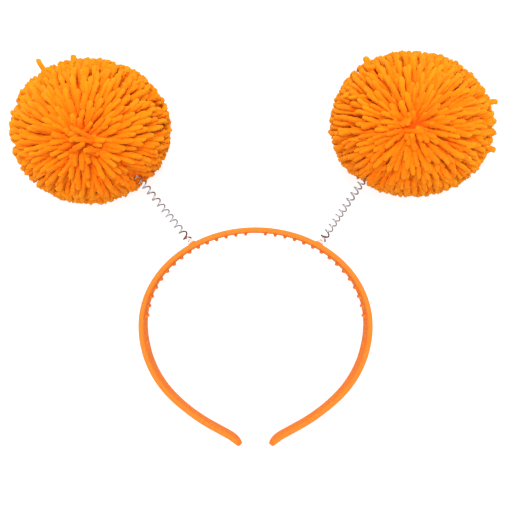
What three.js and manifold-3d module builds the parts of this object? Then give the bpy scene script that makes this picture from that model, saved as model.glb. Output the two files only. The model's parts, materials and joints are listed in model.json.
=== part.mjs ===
// A head bopper: a moulded plastic headband with comb teeth inside, and two yarn pompoms that
// bob on wire springs. All sizes are millimetres.
//
// The bopper is modelled in the plane of its band, with +X across the head, +Y up the head and
// +Z out of the band's front edge. Its origin there is the middle of the band's widest line. Then
// it is laid down, so that it rests on the two tips of the band and on the two pompoms.

import * as THREE from 'three';
import { mergeVertices } from 'three/addons/utils/BufferGeometryUtils.js';
import Module from 'manifold-3d';

const wasm = await Module();
wasm.setup();

// Headband: its inside face runs over the crown as half an ellipse, down each side as an arc that
// goes over into a wider one, along a short straight arm, and out again in a flare at the tip.
const insideHalfWidth = 64.3;
const insideHeight = 53.6;
const sideRadius = 57.8;
const sideTurn = THREE.MathUtils.degToRad(46);
const lowerRadius = 105;
const lowerTurn = THREE.MathUtils.degToRad(15.5);
const armLength = 9.8;
const flareRadius = 24;
const flareTurn = THREE.MathUtils.degToRad(24);
const bandThickness = 2.8;
const edgeChamfer = 0.7;

// The band keeps its width over the crown and narrows evenly down its sides, between two heights
// below its widest line. The arms and the tips have the lesser width.
const bandWidth = 16.9;
const tipWidth = 10;
const taperStart = 12;
const taperEnd = 48;
const flareSteps = 4;
const tipSteps = 4;
const tipCornerSteps = 10;
const cutterMargin = 2;

// Comb teeth in one row on the inside face. The middle of the crown has none, and the last few of
// each side are low.
const toothPitch = 5.85;
const teethPerSide = 18;
const lowTeeth = 3;
const toothLength = 2.3;
const toothCrest = 1.1;
const toothHeight = 1.5;
const lowToothHeight = 0.6;
const toothWidth = 8;
const toothRoot = 0.6;

// Raised seats on the outside of the band, one below each spring.
const seatReach = 37.3;
const seatDiameter = 5.2;
const seatHeight = 0.8;
const roundSides = 12;

// Bead of clear glue that holds the foot of a spring, with a post up inside its first turns.
const glueDiameter = 3.9;
const glueFoot = 1.2;
const gluePost = 3.8;
const postClearance = 0.45;
const glueSides = 8;

// Springs. The left one is stretched a little more than the right one.
const coilDiameter = 4.25;
const wireDiameter = 0.7;
const leftPitch = 4.2;
const rightPitch = 3.75;
const springTurns = 14.5;
const stepsPerTurn = 8;
const wireSides = 5;

// Pompoms: a core of packed yarn with locks that stand out from it all over. The reach runs along
// the spring from its seat to the pompom's middle, which hangs aside from the spring's line.
const pompomLength = 94;
const pompomHeight = 84.5;
const pompomDepth = 78;
const leftReach = 87.3;
const rightReach = 87.6;
const leftAside = 4.2;
const rightAside = 5.5;
const pressedFlat = 2;
const coreShare = 0.9;
const lockCount = 72;
const lockDiameter = 13;
const lockRootShare = 0.5;
const lockRootDepth = 0.44;
const lockDome = 3.5;
const lockUneven = 0.035;
const lockLean = 0.42;
const lockSides = 5;
const coreDetail = 1;

// Clearance that separate pieces keep from each other, and that the locks keep from a spring.
const gap = 0.3;
const partingGap = 1;

// How close two corners lie that count as one, and how far apart two points of the inside face
// stand, as a share of its length, when its slope is taken from them.
const sameCorner = 1e-4;
const slopeStep = 0.002;

// The two sides are not alike: each spring leans its own way, measured from straight up. poleX and
// poleY give where the locks of a pompom part.
const sides = [
  {
    name: 'left', sign: -1, springLean: THREE.MathUtils.degToRad(38.8), springPitch: leftPitch,
    pompomReach: leftReach, pompomAside: leftAside, pompomTurn: THREE.MathUtils.degToRad(15),
    poleX: 0.08, poleY: -0.33, seed: 7,
  },
  {
    name: 'right', sign: 1, springLean: THREE.MathUtils.degToRad(34.4), springPitch: rightPitch,
    pompomReach: rightReach, pompomAside: rightAside, pompomTurn: THREE.MathUtils.degToRad(-12),
    poleX: -0.25, poleY: -0.21, seed: 19,
  },
];

const plastic = new THREE.MeshStandardMaterial({ color: 0xff8a2b, roughness: 0.35, metalness: 0 });
const glue = new THREE.MeshStandardMaterial({ color: 0xf3ddd6, roughness: 0.15, metalness: 0 });
const steel = new THREE.MeshStandardMaterial({ color: 0xb9b9bc, roughness: 0.3, metalness: 1 });
const yarn = new THREE.MeshStandardMaterial({ color: 0xff9a1f, roughness: 0.95, metalness: 0 });

// Solids

function solidOf(geometry) {
  const bare = geometry.clone();
  bare.deleteAttribute('normal');
  bare.deleteAttribute('uv');
  const merged = mergeVertices(bare, sameCorner);
  const vertProperties = new Float32Array(merged.attributes.position.array);
  const triVerts = new Uint32Array(merged.index.array);
  return new wasm.Manifold(new wasm.Mesh({ numProp: 3, vertProperties, triVerts }));
}

function geometryOf(solid) {
  const mesh = solid.getMesh();
  const geometry = new THREE.BufferGeometry();
  geometry.setAttribute('position', new THREE.BufferAttribute(mesh.vertProperties, 3));
  geometry.setIndex(new THREE.BufferAttribute(mesh.triVerts, 1));
  geometry.computeVertexNormals();
  return geometry;
}

function largestBody(solid) {
  const bodies = solid.decompose();
  return bodies.reduce((best, body) => (body.volume() > best.volume() ? body : best));
}

// A frame whose X, Y and Z axes are the given directions, standing at a point.
function frameAt(origin, x, y, z) {
  return new THREE.Matrix4().makeBasis(x, y, z).setPosition(origin);
}

// A repeatable series of numbers between 0 and 1.
function seriesFrom(seed) {
  let state = seed;
  return () => {
    state = (state * 16807) % 2147483647;
    return state / 2147483647;
  };
}

// Headband

// The inside face from the top of the crown to the right tip.
function insidePath() {
  const path = new THREE.Path();
  path.absellipse(0, 0, insideHalfWidth, insideHeight, Math.PI / 2, 0, true);
  path.absarc(insideHalfWidth - sideRadius, 0, sideRadius, 0, -sideTurn, true);
  const armTurn = sideTurn + lowerTurn;
  const sideOutward = new THREE.Vector2(Math.cos(sideTurn), -Math.sin(sideTurn));
  const lowerMiddle = path.currentPoint.clone().addScaledVector(sideOutward, -lowerRadius);
  path.absarc(lowerMiddle.x, lowerMiddle.y, lowerRadius, -sideTurn, -armTurn, true);
  const along = new THREE.Vector2(-Math.sin(armTurn), -Math.cos(armTurn));
  const outward = new THREE.Vector2(Math.cos(armTurn), -Math.sin(armTurn));
  const armEnd = path.currentPoint.clone().addScaledVector(along, armLength);
  path.lineTo(armEnd.x, armEnd.y);
  const flareMiddle = armEnd.clone().addScaledVector(outward, flareRadius);
  const flareStart = Math.PI - armTurn;
  path.absarc(flareMiddle.x, flareMiddle.y, flareRadius, flareStart, flareStart + flareTurn, false);
  return path;
}

// The path's point and outward direction at a distance from the top of the crown.
function stationAt(path, distance) {
  const share = distance / path.getLength();
  const inside = path.getPoint(share);
  const before = path.getPoint(Math.max(0, share - slopeStep));
  const after = path.getPoint(Math.min(1, share + slopeStep));
  const along = after.sub(before).normalize();
  return { inside, along, outward: new THREE.Vector2(-along.y, along.x) };
}

// Stations stand at the teeth, and then at the ends of the arm and along the flare.
function rightStations(path) {
  const flareLength = flareRadius * flareTurn;
  const armEnd = path.getLength() - flareLength;
  const armStart = armEnd - armLength;
  const distances = [];
  for (let at = toothPitch; at < armStart - toothPitch / 2; at += toothPitch) distances.push(at);
  distances.push(armStart);
  for (let i = 0; i <= flareSteps; i += 1) distances.push(armEnd + (flareLength * i) / flareSteps);
  return distances.map((at) => stationAt(path, at));
}

function mirrored(point) {
  return new THREE.Vector2(-point.x, point.y);
}

function bandOutline(stations) {
  const inside = stations.map((s) => s.inside);
  const outside = stations.map((s) => s.inside.clone().addScaledVector(s.outward, bandThickness));
  const last = stations[stations.length - 1];
  const tip = [];
  for (let i = 1; i < tipSteps; i += 1) {
    const angle = (Math.PI * i) / tipSteps;
    const middle = last.inside.clone().addScaledVector(last.outward, bandThickness / 2);
    middle.addScaledVector(last.outward, (Math.cos(angle) * bandThickness) / 2);
    middle.addScaledVector(last.along, (Math.sin(angle) * bandThickness) / 2);
    tip.push(middle);
  }
  const right = [...outside, ...tip, ...inside.slice().reverse()];
  const left = right.map(mirrored).reverse();
  return new THREE.Shape([...right, ...left]);
}

// What is cut away beyond the round end of a tip, seen square to the band.
function tipCutter(station) {
  const half = tipWidth / 2;
  const clear = half + cutterMargin;
  const shape = new THREE.Shape();
  shape.moveTo(-half, -half);
  shape.absarc(-half, 0, half, -Math.PI / 2, Math.PI / 2, false);
  shape.lineTo(-half, clear);
  shape.lineTo(cutterMargin, clear);
  shape.lineTo(cutterMargin, -clear);
  shape.lineTo(-half, -clear);
  const depth = bandThickness + 2 * cutterMargin;
  const settings = { depth, bevelEnabled: false, curveSegments: tipCornerSteps };
  const block = new THREE.ExtrudeGeometry(shape, settings);
  block.translate(bandThickness / 2, 0, -cutterMargin);
  const along = new THREE.Vector3(station.along.x, station.along.y, 0);
  const outward = new THREE.Vector3(station.outward.x, station.outward.y, 0);
  const across = outward.clone().cross(along);
  const origin = new THREE.Vector3(station.inside.x, station.inside.y, 0);
  return block.applyMatrix4(frameAt(origin, along, across, outward));
}

function toothBlock(station, number) {
  const height = number < teethPerSide - lowTeeth ? toothHeight : lowToothHeight;
  const shape = new THREE.Shape();
  shape.moveTo(-toothLength / 2, toothRoot);
  shape.lineTo(-toothLength / 2, 0);
  shape.lineTo(-toothCrest / 2, -height);
  shape.lineTo(toothCrest / 2, -height);
  shape.lineTo(toothLength / 2, 0);
  shape.lineTo(toothLength / 2, toothRoot);
  const block = new THREE.ExtrudeGeometry(shape, { depth: toothWidth, bevelEnabled: false });
  block.translate(0, 0, -toothWidth / 2);
  const along = new THREE.Vector3(station.along.x, station.along.y, 0);
  const outward = new THREE.Vector3(station.outward.x, station.outward.y, 0);
  const origin = new THREE.Vector3(station.inside.x, station.inside.y, 0);
  return block.applyMatrix4(frameAt(origin, along, outward, along.clone().cross(outward)));
}

function mirroredSolid(solid) {
  return solid.mirror([1, 0, 0]);
}

// A point on the outside face of the crown, seatReach from the middle.
function seatPoint(sign) {
  const outerHalfWidth = insideHalfWidth + bandThickness;
  const outerHeight = insideHeight + bandThickness;
  const share = seatReach / outerHalfWidth;
  return new THREE.Vector3(sign * seatReach, outerHeight * Math.sqrt(1 - share * share), 0);
}

// The frame of a spring: it stands on its seat with its Y axis along the spring.
function springFrame(side) {
  const up = new THREE.Vector3(side.sign * Math.sin(side.springLean), Math.cos(side.springLean), 0);
  const front = new THREE.Vector3(0, 0, 1);
  return frameAt(seatPoint(side.sign), up.clone().cross(front), up, front);
}

function seatBlock(side) {
  const height = seatHeight + bandThickness / 2;
  const block = new THREE.CylinderGeometry(seatDiameter / 2, seatDiameter / 2, height, roundSides);
  block.translate(0, seatHeight - height / 2, 0);
  return block.applyMatrix4(springFrame(side));
}

// The strip's corners drawn in towards the band's plane by as much as the band narrows there.
function tapered(strip) {
  const positions = strip.attributes.position;
  const tipShare = tipWidth / bandWidth;
  for (let i = 0; i < positions.count; i += 1) {
    const run = (-positions.getY(i) - taperStart) / (taperEnd - taperStart);
    const share = THREE.MathUtils.lerp(1, tipShare, THREE.MathUtils.clamp(run, 0, 1));
    positions.setZ(i, positions.getZ(i) * share);
  }
  return strip;
}

function headband() {
  const path = insidePath();
  const stations = rightStations(path);
  const settings = {
    depth: bandWidth - 2 * edgeChamfer,
    bevelEnabled: true,
    bevelThickness: edgeChamfer,
    bevelSize: edgeChamfer,
    bevelOffset: -edgeChamfer,
    bevelSegments: 1,
  };
  const strip = new THREE.ExtrudeGeometry(bandOutline(stations), settings);
  strip.translate(0, 0, edgeChamfer - bandWidth / 2);
  const teeth = stations.slice(0, teethPerSide).map((s, i) => solidOf(toothBlock(s, i)));
  const seats = sides.map((side) => solidOf(seatBlock(side)));
  const cutter = solidOf(tipCutter(stationAt(path, path.getLength())));
  let band = solidOf(tapered(strip));
  for (const piece of [...teeth, ...teeth.map(mirroredSolid), ...seats]) band = band.add(piece);
  return band.subtract(cutter).subtract(mirroredSolid(cutter));
}

// Glue beads

function glueBead(side) {
  const foot = seatHeight + gap;
  const shoulder = foot + glueFoot;
  const top = shoulder + gluePost;
  const post = coilDiameter / 2 - wireDiameter - postClearance;
  const profile = [
    new THREE.Vector2(0, foot),
    new THREE.Vector2(glueDiameter / 2, foot),
    new THREE.Vector2(glueDiameter / 2, foot + glueFoot / 2),
    new THREE.Vector2(post, shoulder),
    new THREE.Vector2(post, top - post / 2),
    new THREE.Vector2(post / 2, top),
    new THREE.Vector2(0, top),
  ];
  return new THREE.LatheGeometry(profile, glueSides).applyMatrix4(springFrame(side));
}

// Springs

class CoilCurve extends THREE.Curve {
  constructor(radius, pitch, turns, foot) {
    super();
    Object.assign(this, { radius, pitch, turns, foot });
  }

  getPoint(t, target = new THREE.Vector3()) {
    const angle = 2 * Math.PI * this.turns * t;
    const height = this.foot + this.pitch * this.turns * t;
    return target.set(this.radius * Math.cos(angle), height, this.radius * Math.sin(angle));
  }
}

function springFoot() {
  return seatHeight + gap + glueFoot + gap + wireDiameter / 2;
}

function springEnd(side) {
  return springFoot() + springTurns * side.springPitch + wireDiameter / 2;
}

function spring(side) {
  const radius = (coilDiameter - wireDiameter) / 2;
  const path = new CoilCurve(radius, side.springPitch, springTurns, springFoot());
  const section = [];
  for (let i = 0; i < wireSides; i += 1) {
    const angle = (2 * Math.PI * i) / wireSides;
    const spoke = new THREE.Vector2(Math.cos(angle), Math.sin(angle));
    section.push(spoke.multiplyScalar(wireDiameter / 2));
  }
  const steps = Math.round(springTurns * stepsPerTurn);
  const settings = { steps, extrudePath: path };
  const coil = new THREE.ExtrudeGeometry(new THREE.Shape(section), settings);
  return coil.applyMatrix4(springFrame(side));
}

// Pompoms

function pompomMiddle(side) {
  const middle = new THREE.Vector3(side.pompomAside * side.sign, side.pompomReach, 0);
  return middle.applyMatrix4(springFrame(side));
}

// How far the pompom reaches from its middle in a direction.
function pompomRadius(side, direction) {
  const turned = direction.clone().applyAxisAngle(new THREE.Vector3(0, 0, 1), -side.pompomTurn);
  const shares = new THREE.Vector3(2 / pompomLength, 2 / pompomHeight, 2 / pompomDepth);
  return 1 / turned.multiply(shares).length();
}

function lockBlock(side, pole, direction, stretch) {
  const tip = direction.clone().multiplyScalar(pompomRadius(side, direction) * stretch);
  const rootWay = direction.clone().addScaledVector(pole, lockLean).normalize();
  const root = rootWay.clone().multiplyScalar(pompomRadius(side, rootWay) * lockRootDepth);
  const length = tip.distanceTo(root);
  const profile = [
    new THREE.Vector2(0, 0),
    new THREE.Vector2((lockDiameter / 2) * lockRootShare, 0),
    new THREE.Vector2(lockDiameter / 2, length - lockDome),
    new THREE.Vector2(0, length),
  ];
  const block = new THREE.LatheGeometry(profile, lockSides);
  const along = tip.clone().sub(root).normalize();
  const turn = new THREE.Quaternion().setFromUnitVectors(new THREE.Vector3(0, 1, 0), along);
  return block.applyQuaternion(turn).translate(root.x, root.y, root.z);
}

// The hole that the spring's end sits in. It starts well outside the pompom.
function springHole(side) {
  const start = side.pompomReach - pompomLength;
  const end = springEnd(side) + gap;
  const radius = coilDiameter / 2 + gap;
  const block = new THREE.CylinderGeometry(radius, radius, end - start, roundSides);
  block.translate(0, (start + end) / 2, 0);
  return block.applyMatrix4(springFrame(side));
}

function pompom(side, floor) {
  const middle = pompomMiddle(side);
  const pole = new THREE.Vector3(side.poleX, side.poleY, 1).normalize();
  const toPole = new THREE.Quaternion().setFromUnitVectors(new THREE.Vector3(0, 0, 1), pole);
  const springWay = seatPoint(side.sign).sub(middle).normalize();
  const core = new THREE.IcosahedronGeometry(1, coreDetail);
  const positions = core.attributes.position;
  for (let i = 0; i < positions.count; i += 1) {
    const way = new THREE.Vector3().fromBufferAttribute(positions, i).normalize();
    const reach = pompomRadius(side, way) * coreShare;
    positions.setXYZ(i, way.x * reach, way.y * reach, way.z * reach);
  }
  const pieces = [solidOf(core)];
  const draw = seriesFrom(side.seed);
  const golden = Math.PI * (3 - Math.sqrt(5));
  const clearAngle = (lockDiameter / 2 + coilDiameter / 2 + partingGap) / (pompomHeight / 2);
  for (let i = 0; i < lockCount; i += 1) {
    const height = 1 - (2 * i + 1) / lockCount;
    const ring = Math.sqrt(1 - height * height);
    const angle = golden * i;
    const way = new THREE.Vector3(ring * Math.cos(angle), ring * Math.sin(angle), height);
    way.applyQuaternion(toPole);
    const stretch = 1 + lockUneven * (2 * draw() - 1);
    if (way.angleTo(springWay) > clearAngle) pieces.push(solidOf(lockBlock(side, pole, way, stretch)));
  }
  const whole = wasm.Manifold.union(pieces).translate([middle.x, middle.y, middle.z]);
  return largestBody(whole.subtract(solidOf(springHole(side))).subtract(floor));
}

// Laying the bopper down

// The slope of the band's plane when its tips and the pompoms' pressed sides are on the floor.
function layAngle() {
  const path = insidePath();
  const tip = stationAt(path, path.getLength()).inside.y;
  const middles = sides.map((side) => pompomMiddle(side).y);
  const run = (middles[0] + middles[1]) / 2 - tip;
  const rise = pompomDepth / 2 - pressedFlat;
  return Math.asin(rise / Math.hypot(run, tipWidth / 2)) - Math.atan2(tipWidth / 2, run);
}

function boundsOf(objects, matrix) {
  const box = new THREE.Box3();
  for (const object of objects) {
    const placed = object.geometry.clone().applyMatrix4(matrix);
    placed.computeBoundingBox();
    box.union(placed.boundingBox);
  }
  return box;
}

// The floor that the pompoms are pressed on, as a block that reaches well past all the pieces.
function floorBlock(placing) {
  const span = 2 * (insideHalfWidth + leftReach + pompomLength);
  const block = new THREE.BoxGeometry(span, span, pompomDepth);
  block.translate(0, 0, -pompomDepth / 2);
  return block.applyMatrix4(placing.clone().invert());
}

function piece(name, geometry, material) {
  const mesh = new THREE.Mesh(geometry, material);
  mesh.name = name;
  return mesh;
}

const bopper = new THREE.Group();
bopper.rotation.x = layAngle();
bopper.add(piece('headband', geometryOf(headband()), plastic));
bopper.updateMatrix();
bopper.position.z = -boundsOf(bopper.children, bopper.matrix).min.z;
bopper.updateMatrix();
const floor = solidOf(floorBlock(bopper.matrix));

for (const side of sides) {
  bopper.add(piece(`glue_${side.name}`, glueBead(side), glue));
  bopper.add(piece(`spring_${side.name}`, spring(side), steel));
  bopper.add(piece(`pompom_${side.name}`, geometryOf(pompom(side, floor)), yarn));
}

const box = boundsOf(bopper.children, bopper.matrix);
bopper.position.x = -(box.min.x + box.max.x) / 2;
bopper.position.y = -(box.min.y + box.max.y) / 2;

export default bopper;
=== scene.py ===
# %% [markdown]
# # A head bopper, piece by piece
# The real object is a springy plastic headband with comb teeth inside. Two steel springs stand on
# it, and each carries a pompom of cut yarn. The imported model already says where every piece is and
# how large. It is loaded first, and nothing in it is moved: each finished piece is built in its
# place around it, in metres.

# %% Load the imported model
import json
import math
import random

import bmesh
import bpy
from mathutils import Matrix, Vector
from mathutils.kdtree import KDTree


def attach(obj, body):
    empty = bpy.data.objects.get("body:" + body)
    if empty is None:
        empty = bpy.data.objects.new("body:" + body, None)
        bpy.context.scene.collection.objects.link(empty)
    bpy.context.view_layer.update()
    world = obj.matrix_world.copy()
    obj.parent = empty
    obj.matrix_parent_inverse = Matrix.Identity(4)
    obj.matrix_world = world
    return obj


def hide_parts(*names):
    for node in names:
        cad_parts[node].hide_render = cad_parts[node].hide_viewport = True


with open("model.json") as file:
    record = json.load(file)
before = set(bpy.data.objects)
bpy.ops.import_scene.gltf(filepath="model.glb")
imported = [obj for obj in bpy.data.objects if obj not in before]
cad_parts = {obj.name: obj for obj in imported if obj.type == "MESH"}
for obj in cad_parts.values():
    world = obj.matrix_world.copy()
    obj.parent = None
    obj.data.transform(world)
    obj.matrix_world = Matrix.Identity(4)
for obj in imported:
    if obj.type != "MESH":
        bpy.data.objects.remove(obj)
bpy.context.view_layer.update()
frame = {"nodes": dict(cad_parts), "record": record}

MM = 0.001
print("nodes:", sorted(frame["nodes"]))

# %% [markdown]
# ## Two habits that keep operators safe
# An operator acts on all that is selected, and the loaded nodes come in selected. So everything is
# deselected before each primitive is added, and in edit mode faces and edges are selected by their
# place or their normal, as one would pick them by hand.

# %% Selecting
# How much of an axis a face's normal has when it looks along it, and when it is just turned to it.
FACING = 0.9
TURNED = 0.01


def edit():
    bpy.ops.object.mode_set(mode="EDIT")


def leave_edit():
    bpy.ops.object.mode_set(mode="OBJECT")


def start_clean():
    if bpy.context.mode != "OBJECT":
        leave_edit()
    bpy.ops.object.select_all(action="DESELECT")


def pick(parts, wanted):
    """Selects the faces or edges of the edited mesh that are wanted, and no others."""
    bpy.ops.mesh.select_all(action="DESELECT")
    mesh = bpy.context.object.data
    shape = bmesh.from_edit_mesh(mesh)
    chosen = [part for part in getattr(shape, parts) if wanted(part)]
    for part in chosen:
        part.select_set(True)
    bmesh.update_edit_mesh(mesh)
    return len(chosen)


def pick_all():
    bpy.ops.mesh.select_all(action="SELECT")


def pick_faces(wanted):
    bpy.ops.mesh.select_mode(type="FACE")
    return pick("faces", lambda face: wanted(face.calc_center_median(), face.normal))


def pick_edges(wanted):
    bpy.ops.mesh.select_mode(type="EDGE")
    return pick("edges", wanted)


def apply_modifiers(piece):
    bpy.context.view_layer.objects.active = piece
    for modifier in list(piece.modifiers):
        bpy.ops.object.modifier_apply(modifier=modifier.name)


def mark(mesh, name, values, kind="FLOAT", field="value"):
    """Stores values for a mesh's points under a name."""
    mesh.attributes.new(name, kind, "POINT").data.foreach_set(field, values)


def triangles(piece):
    return sum(len(face.vertices) - 2 for face in piece.data.polygons)


start_clean()
print("selected after the clean start:", len(bpy.context.selected_objects))

# %% [markdown]
# ## The plane of the band
# The bopper lies on the tips of its band and on its two pompoms, so the band's own plane is tilted.
# It is far easier to model each piece in a flat plane, with X across the head, Y up the head and Z
# out of the front edge, and to lay it down at the end. The tilt is read from the mount at the crown,
# whose axis points straight down the head.

# %% From the band's plane to the world
crown_height = 53.38 * MM

seat_mount = next(m for m in frame["record"]["mounts"] if m["name"] == "crown_seat")
down = Vector(seat_mount["axis"])
tilt = math.atan2(-down.z, -down.y)
plane_origin = Vector(seat_mount["pos_m"]) + down * crown_height
to_world = Matrix.Translation(plane_origin) @ Matrix.Rotation(tilt, 4, "X")


def lay_down(piece):
    """Turns a piece from the band's plane into its place, and bakes that into its mesh."""
    start_clean()
    piece.select_set(True)
    bpy.context.view_layer.objects.active = piece
    piece.matrix_world = to_world @ piece.matrix_world
    bpy.ops.object.transform_apply()


print("the band's plane is tilted by", round(math.degrees(tilt), 2), "degrees")

# %% [markdown]
# ## The camera
# The photograph looks straight at the band's front edge, from quite near. The inside faces of both
# arms and both sides show equally much, which puts the lens above the middle of the picture, square
# to the band's plane.

# %% Camera
camera_distance = 370 * MM
camera_aside = -0.9 * MM
camera_up_head = 41.1 * MM
field_of_view = math.radians(43.76)

start_clean()
lens = Vector((camera_aside, camera_up_head, camera_distance))
bpy.ops.object.camera_add(location=to_world @ lens, rotation=(tilt, 0, 0))
camera = bpy.context.object
camera.name = "camera"
camera.data.angle = field_of_view
bpy.context.scene.camera = camera
print("camera at", [round(v, 3) for v in camera.location])

# %% [markdown]
# ## The headband
# The real band is one plastic moulding of even thickness, with round ends and soft edges. Bending
# comes last here. One half is modelled as a straight strip, where every cut and every edge is
# square to an axis and easy to select. A Curve modifier then bends the strip along the head, and a
# Mirror modifier gives the other half.

# %% The line that the inside face follows
half_width = 64.3 * MM
inside_height = 53.6 * MM
side_radius = 57.8 * MM
side_turn = math.radians(46)
lower_radius = 105 * MM
lower_turn = math.radians(15.5)
arm_length = 9.8 * MM
flare_radius = 24 * MM
flare_turn = math.radians(24)
LINE_STEPS = 64
QUARTER_HANDLE = 4 / 3 * math.tan(math.pi / 8)


def arc_handle(radius, turn):
    """Length of the two handles that make a Bezier segment an arc."""
    return 4 / 3 * math.tan(turn / 4) * radius


def heading(angle):
    return Vector((math.cos(angle), math.sin(angle), 0))


arm_turn = side_turn + lower_turn
side_end = Vector((half_width - side_radius, 0, 0)) + side_radius * heading(-side_turn)
side_way = heading(-side_turn - math.pi / 2)
arm_start = side_end + lower_radius * (heading(-arm_turn) - heading(-side_turn))
arm_way = heading(-arm_turn - math.pi / 2)
arm_end = arm_start + arm_length * arm_way
flare_end = arm_end + flare_radius * (heading(-arm_turn) - heading(flare_turn - arm_turn))
flare_way = heading(flare_turn - arm_turn - math.pi / 2)

# Each row: a point, the way the line runs there, and its handles before and after.
line_rows = [
    (Vector((0, inside_height, 0)), Vector((1, 0, 0)), 0, QUARTER_HANDLE * half_width),
    (Vector((half_width, 0, 0)), Vector((0, -1, 0)),
     QUARTER_HANDLE * inside_height, arc_handle(side_radius, side_turn)),
    (side_end, side_way, arc_handle(side_radius, side_turn), arc_handle(lower_radius, lower_turn)),
    (arm_start, arm_way, arc_handle(lower_radius, lower_turn), arm_length / 3),
    (arm_end, arm_way, arm_length / 3, arc_handle(flare_radius, flare_turn)),
    (flare_end, flare_way, arc_handle(flare_radius, flare_turn), 0),
]

start_clean()
bpy.ops.curve.primitive_bezier_curve_add()
head_line = bpy.context.object
head_line.data.dimensions = "2D"
head_line.data.resolution_u = LINE_STEPS
spline = head_line.data.splines[0]
spline.bezier_points.add(len(line_rows) - len(spline.bezier_points))
for point, (place, way, before, after) in zip(spline.bezier_points, line_rows):
    point.handle_left_type = point.handle_right_type = "FREE"
    point.co = place
    point.handle_left = place - before * way
    point.handle_right = place + after * way
half_length = spline.calc_length()
print("half of the inside face is", round(half_length / MM, 1), "mm long")

# %% [markdown]
# ### The straight strip
# A cube becomes the strip. Bevelling its two corner edges makes the round end, seen square to the
# band. The band is narrower at its ends, and the end is pressed together now by as much as it will
# be narrowed later, so that it ends up round. Bevelling the rim softens every outside edge. Only then
# is the strip cut into slices, so that it can bend and so that each tooth has a face of its own:
# cuts that came first would get in the way of both bevels.

# %% Strip
band_thickness = 2.8 * MM
band_width = 16.9 * MM
tip_width = 10 * MM
edge_radius = 0.75 * MM
EDGE_STEPS = 3
END_STEPS = 9
# Two places closer than this count as one.
HAIR = 0.02 * MM

start_clean()
bpy.ops.mesh.primitive_cube_add(size=1, location=(half_length / 2, band_thickness / 2, 0),
                                scale=(half_length, band_thickness, band_width))
band = bpy.context.object
band.name = "band"
bpy.ops.object.transform_apply()

edit()


def at_tip_corner(edge):
    first, second = (v.co for v in edge.verts)
    return min(first.x, second.x) > half_length - HAIR and abs(first.z - second.z) < HAIR


corners = pick_edges(at_tip_corner)
bpy.ops.mesh.bevel(offset=band_width / 2 - HAIR, segments=END_STEPS, affect="EDGES")
tip_share = tip_width / band_width
pick_faces(lambda centre, normal: centre.x > half_length - band_width / 2 and normal.x > TURNED)
bpy.ops.transform.resize(value=(tip_share, 1, 1), center_override=(half_length, 0, 0))


def on_rim(edge):
    """An edge between a wide face and the rim, but not at the crown, where the halves join."""
    if len(edge.link_faces) != 2 or all(v.co.x < HAIR for v in edge.verts):
        return False
    tilts = sorted(abs(face.normal.y) for face in edge.link_faces)
    return tilts[0] < FACING < tilts[1]


rim = pick_edges(on_rim)
bpy.ops.mesh.bevel(offset=edge_radius, segments=EDGE_STEPS, affect="EDGES")
pick_faces(lambda centre, normal: normal.x < -FACING and centre.x < HAIR)
bpy.ops.mesh.delete(type="FACE")
print(corners, "corner edges and", rim, "rim edges bevelled")

# %% [markdown]
# ### Slices and teeth
# The comb teeth stand at an even pitch from the crown down to just below the widest line, where the
# last few are low. Bisect cuts the strip at both edges of each tooth and along its two ends. An
# inset of all the faces of one height, inwards and upwards, raises the teeth with sloping sides, as
# a mould needs.

# %% Cut the strip and raise the teeth
tooth_pitch = 5.85 * MM
TEETH_PER_SIDE = 18
tooth_length = 2.3 * MM
last_tooth_length = 5 * MM
tooth_width = 8 * MM
tooth_slope = 0.55 * MM
tooth_height = 1.5 * MM
LOW_TEETH = 3
low_tooth_height = 0.6 * MM
tooth_rounding = 0.22 * MM
ROUNDING_STEPS = 2
slice_length = 2.4 * MM


def cut(place, normal):
    pick_all()
    bpy.ops.mesh.bisect(plane_co=place, plane_no=normal)


spans = []
for number in range(1, TEETH_PER_SIDE + 1):
    length = last_tooth_length if number == TEETH_PER_SIDE else tooth_length
    spans.append((number * tooth_pitch - length / 2, number * tooth_pitch + length / 2))
cuts = []
reached = 0
for low, high in spans + [(half_length, half_length)]:
    steps = max(1, round((low - reached) / slice_length))
    cuts += [reached + (low - reached) * i / steps for i in range(1, steps + 1)]
    cuts.append(high)
    reached = high
for at in cuts:
    if HAIR < at < half_length - HAIR:
        cut((at, 0, 0), (1, 0, 0))
for end in (-1, 1):
    cut((0, 0, end * tooth_width / 2), (0, 0, 1))


def raise_teeth(chosen, height):
    count = pick_faces(lambda centre, normal: normal.y < -FACING and abs(centre.z) < tooth_width / 2
                       and any(low < centre.x < high for low, high in chosen))
    bpy.ops.mesh.inset(thickness=tooth_slope, depth=height, use_individual=True)
    bpy.ops.mesh.bevel(offset=tooth_rounding, segments=ROUNDING_STEPS, affect="EDGES")
    return count


teeth = raise_teeth(spans[:-LOW_TEETH], tooth_height)
teeth += raise_teeth(spans[-LOW_TEETH:], low_tooth_height)
leave_edit()
print(teeth, "teeth on each side,", len(cuts), "cuts")

# %% [markdown]
# ### Narrow, bend, mirror and join
# The band keeps its width over the crown and gets narrower down its sides. Scaling the arm with
# proportional editing and a linear falloff does that: the arm is scaled in full, and what lies
# before it by less and less. Then the Curve modifier bends the strip in the band's plane: the
# strip's X runs along the line, and its Y stays square to it. The two seats are low round lugs that
# the springs stand on. They are part of the same moulding, so a Boolean joins them to it.

# %% Narrow the arm
taper_start = 105.5 * MM
taper_end = 150 * MM

edit()
arm = pick_faces(lambda centre, normal: centre.x > taper_end)
bpy.ops.transform.resize(value=(1, 1, tip_share), center_override=(0, 0, 0),
                         use_proportional_edit=True, proportional_edit_falloff="LINEAR",
                         proportional_size=taper_end - taper_start)
leave_edit()
tip_across = 2 * max(v.co.z for v in band.data.vertices if v.co.x > taper_end + slice_length)
print(arm, "faces of the arm narrowed, to", round(tip_across / MM, 2), "mm")

# %% Bend the strip and give it its other half
seam_width = 0.1 * MM

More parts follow.
